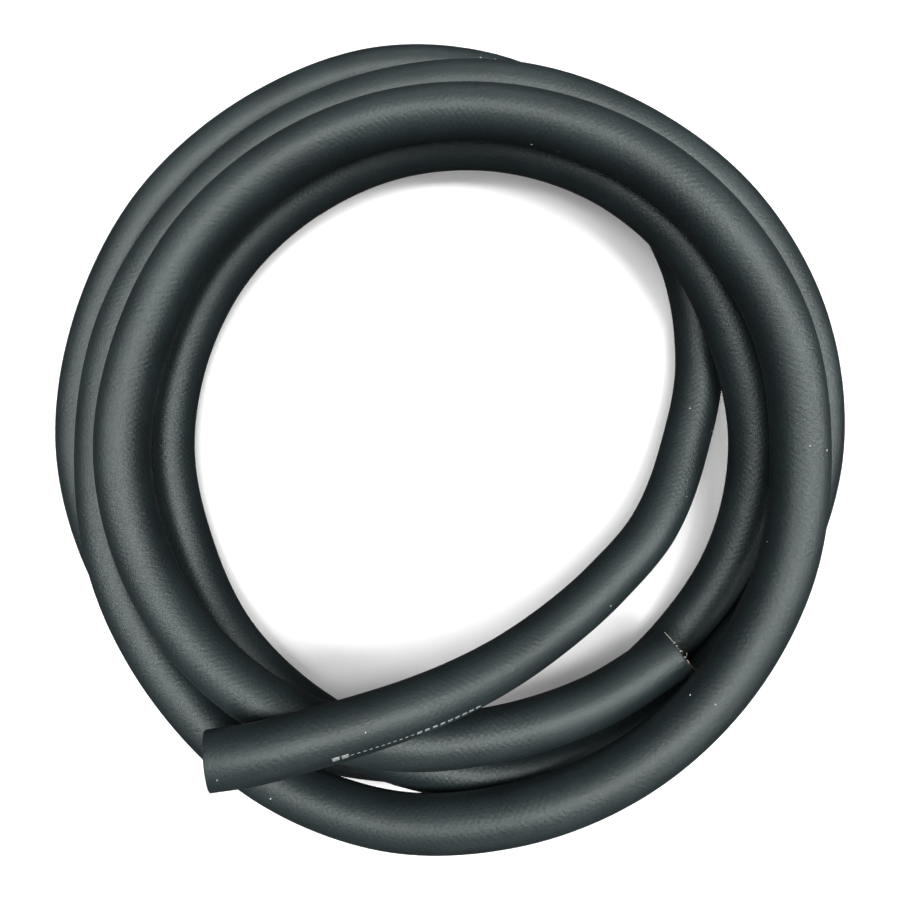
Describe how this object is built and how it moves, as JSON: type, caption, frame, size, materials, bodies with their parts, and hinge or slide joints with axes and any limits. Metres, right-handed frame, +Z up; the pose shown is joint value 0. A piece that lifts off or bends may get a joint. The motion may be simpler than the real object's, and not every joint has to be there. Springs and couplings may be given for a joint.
{
  "type": "fuel hose",
  "caption": "Length of black rubber fuel hose with a round bore and two hand-cut ends, lying in a loose flat coil.",
  "frame": {"origin": "on the floor that the coil lies on, at the middle of the coil's footprint", "axes": "+Z up; +X and +Y lie in the floor, and the end on top of the pile points towards -X"},
  "size_m": [0.366, 0.359, 0.0815],
  "materials": {
    "hose_rubber": "satin black rubber with a faint braid imprint"
  },
  "bodies": {
    "root": {"hose": "hose_rubber"}
  },
  "joints": []
}
